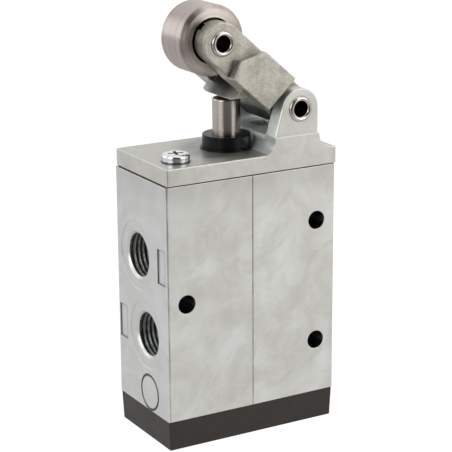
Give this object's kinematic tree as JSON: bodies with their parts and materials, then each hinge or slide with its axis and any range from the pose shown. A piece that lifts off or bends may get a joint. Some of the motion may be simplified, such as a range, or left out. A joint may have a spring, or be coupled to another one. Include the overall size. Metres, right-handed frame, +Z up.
{
  "type": "roller lever pneumatic valve",
  "caption": "Small block-shaped pneumatic valve with threaded ports, worked by a sprung plunger under a hinged lever with a steel roller.",
  "frame": {"origin": "where the plunger's axis meets the flat underside of the base", "axes": "+Z up along the plunger, -X towards the end with two ports, -Y out of the wide face seen in the picture"},
  "size_m": [0.0535, 0.0298, 0.1203],
  "materials": {
    "cast_body": "die-cast, tumbled satin with cloudy mottling",
    "cast_cover": "die-cast, tumbled satin",
    "cast_lever": "die-cast, tumbled satin",
    "inner_aluminium": "turned",
    "spool_aluminium": "polished",
    "black_plastic": "moulded, fine satin grain",
    "seal_rubber": "moulded rubber",
    "screw_steel": "bright zinc plated",
    "plunger_steel": "ground and polished",
    "spring_steel": "drawn wire",
    "rivet_nickel": "bright nickel",
    "roller_steel": "turned and ground",
    "bush_brass": "sintered bronze"
  },
  "bodies": {
    "housing": {"valve_body": "cast_body", "base_cover": "black_plastic", "base_seal": "seal_rubber", "base_screws": "screw_steel", "top_gasket": "seal_rubber", "top_cover": "cast_cover", "cover_screws": "screw_steel", "guide_bush": "black_plastic", "rod_seal": "seal_rubber", "upper_retainer": "inner_aluminium", "lower_retainer": "inner_aluminium", "spool_seals": "seal_rubber", "supply_cage": "inner_aluminium", "outlet_cage": "inner_aluminium", "exhaust_cage": "inner_aluminium", "pivot_rivet": "rivet_nickel", "return_spring": "spring_steel"},
    "plunger": {"plunger": "plunger_steel", "plunger_clip": "spring_steel", "spool": "spool_aluminium", "spring_seat": "spring_steel"},
    "lever": {"lever": "cast_lever", "roller_rivet": "rivet_nickel", "thrust_washers": "black_plastic"},
    "roller": {"roller": "roller_steel", "roller_bush": "bush_brass"}
  },
  "joints": [
    {"name": "lever_pivot", "type": "hinge", "parent": "housing", "child": "lever", "pos_m": [0.0151, 0, 0.09115], "axis": [0, -1, 0], "range_deg": [0, 16.8], "stiffness_Nm_per_rad": 0.5, "springref_deg": -17.19},
    {"name": "plunger_slide", "type": "slide", "parent": "housing", "child": "plunger", "axis": [0, 0, -1], "range_m": [0, 0.0047], "deforming": ["return_spring"]},
    {"name": "roller_spin", "type": "hinge", "parent": "lever", "child": "roller", "pos_m": [-0.00738, 0, 0.11059], "axis": [0, -1, 0], "continuous": true}
  ],
  "couplings": [
    {"joint": "plunger_slide", "follows": "lever_pivot", "m_per_rad": 0.016}
  ]
}
